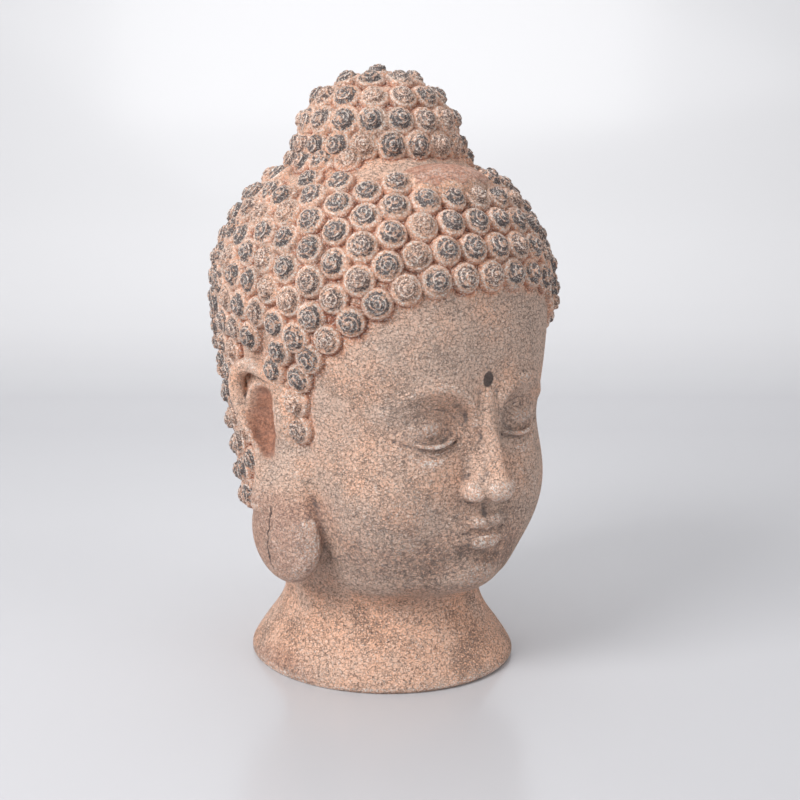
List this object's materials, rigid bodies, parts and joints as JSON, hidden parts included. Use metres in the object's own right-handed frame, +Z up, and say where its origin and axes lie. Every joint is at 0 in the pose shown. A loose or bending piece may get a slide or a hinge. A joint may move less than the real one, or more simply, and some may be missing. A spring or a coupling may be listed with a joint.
{
  "type": "buddha head statue",
  "caption": "Cast stone-look Buddha head with snail-shell curls, a topknot and long hanging ears, on a short neck cut flat to stand by its own weight.",
  "frame": {"origin": "middle of the flat underside, on the surface that the head stands on", "axes": "+Z up, along the height of the head; the face looks along -Y; +X is the head's own left"},
  "size_m": [0.223, 0.2564, 0.4],
  "materials": {
    "painted_stone": "matt cast stone under crackled terracotta paint, greyed on the curls and rubbed pale on the edges"
  },
  "bodies": {
    "root": {"buddha_head": "painted_stone"}
  },
  "joints": []
}
